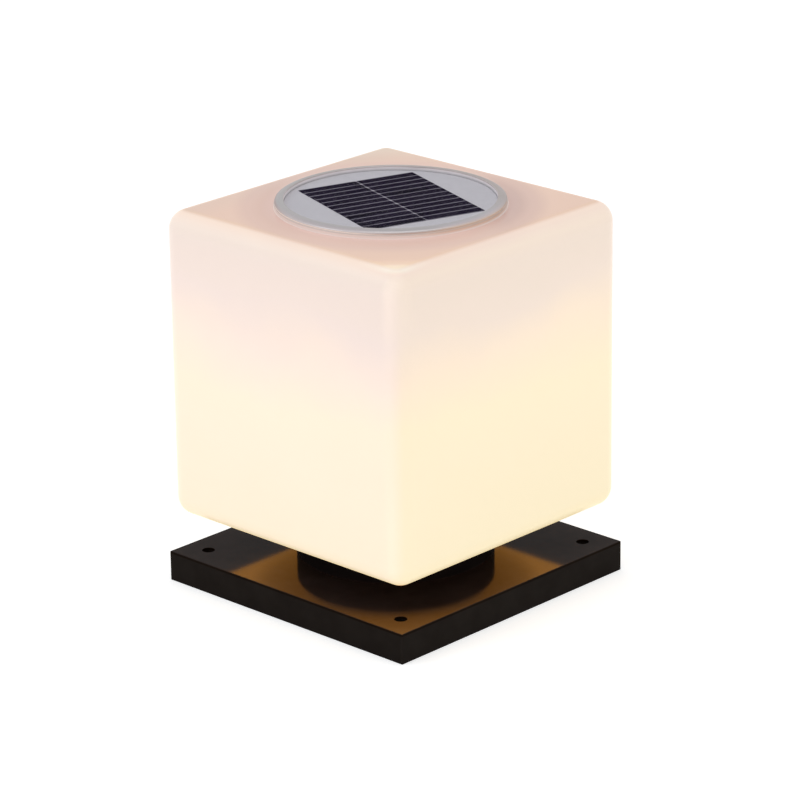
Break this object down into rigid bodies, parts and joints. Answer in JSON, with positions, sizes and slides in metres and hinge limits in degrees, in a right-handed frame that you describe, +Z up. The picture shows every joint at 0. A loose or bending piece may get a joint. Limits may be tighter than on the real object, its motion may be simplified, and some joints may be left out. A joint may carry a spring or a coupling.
{
  "type": "solar post light",
  "caption": "Cube-shaped solar light for a pier or post: cast square base plate, round collar, opal cube shade and a twist-in solar head with its battery and LEDs.",
  "frame": {"origin": "centre of the base plate's underside", "axes": "+Z up through the shade; X and Y along the plate's sides, so the pictured corner is between +X and -Y"},
  "size_m": [0.2, 0.2, 0.2483],
  "materials": {
    "cast_black": "satin black powder coat",
    "opal": "opal, semi-gloss, lit from inside",
    "silver_bezel": "satin silver-grey paint",
    "panel_white": "pale lavender-grey solder mask",
    "solar_cell": "dark violet-black silicon",
    "ribbon": "tinned",
    "clear_cover": "clear tempered glass",
    "moulded_grey": "fine moulded texture",
    "silicone_pale": "translucent silicone",
    "rubber_black": "matte silicone",
    "steel": "zinc plated",
    "board_white": "white solder mask",
    "led": "phosphor yellow",
    "lens_clear": "frosted clear",
    "board_green": "green solder mask",
    "parts_black": "moulded black",
    "cell_wrap": "blue shrink wrap",
    "wire_red": "wire insulation",
    "wire_black": "wire insulation",
    "wire_white": "wire insulation"
  },
  "bodies": {
    "base": {"base_plate": "cast_black", "collar": "cast_black", "collar_screws": "steel", "neck_gasket": "rubber_black", "grub_screws": "parts_black", "shade": "opal"},
    "seal": {"bezel_seal": "silicone_pale"},
    "head": {"bezel": "silver_bezel", "bezel_screws": "steel", "panel_board": "panel_white", "solar_cells": "solar_cell", "cell_ribbons": "ribbon", "panel_glass": "clear_cover", "housing": "moulded_grey", "housing_cover": "moulded_grey", "cover_seal": "rubber_black", "cover_screws": "steel", "led_board": "board_white", "leds": "led", "led_lens": "lens_clear", "lens_screws": "steel", "control_board": "board_green", "board_parts": "parts_black", "board_screws": "steel", "battery_holder": "parts_black", "battery": "cell_wrap", "battery_contacts": "steel", "tact_switch": "parts_black", "panel_wires": "wire_red", "battery_wires": "wire_black", "led_wires": "wire_white"},
    "button": {"power_button": "rubber_black", "switch_stem": "parts_black"}
  },
  "joints": [
    {"name": "head_lift", "type": "slide", "parent": "base", "child": "seal", "axis": [0, 0, 1], "range_m": [0, 0.08]},
    {"name": "head_twist", "type": "hinge", "parent": "seal", "child": "head", "pos_m": [0, 0, 0.2459], "axis": [0, 0, 1], "range_deg": [-30, 0]},
    {"name": "button_press", "type": "slide", "parent": "head", "child": "button", "axis": [0, 0, 1], "range_m": [0, 0.0015], "stiffness_N_per_m": 600, "springref_m": -0.001}
  ]
}
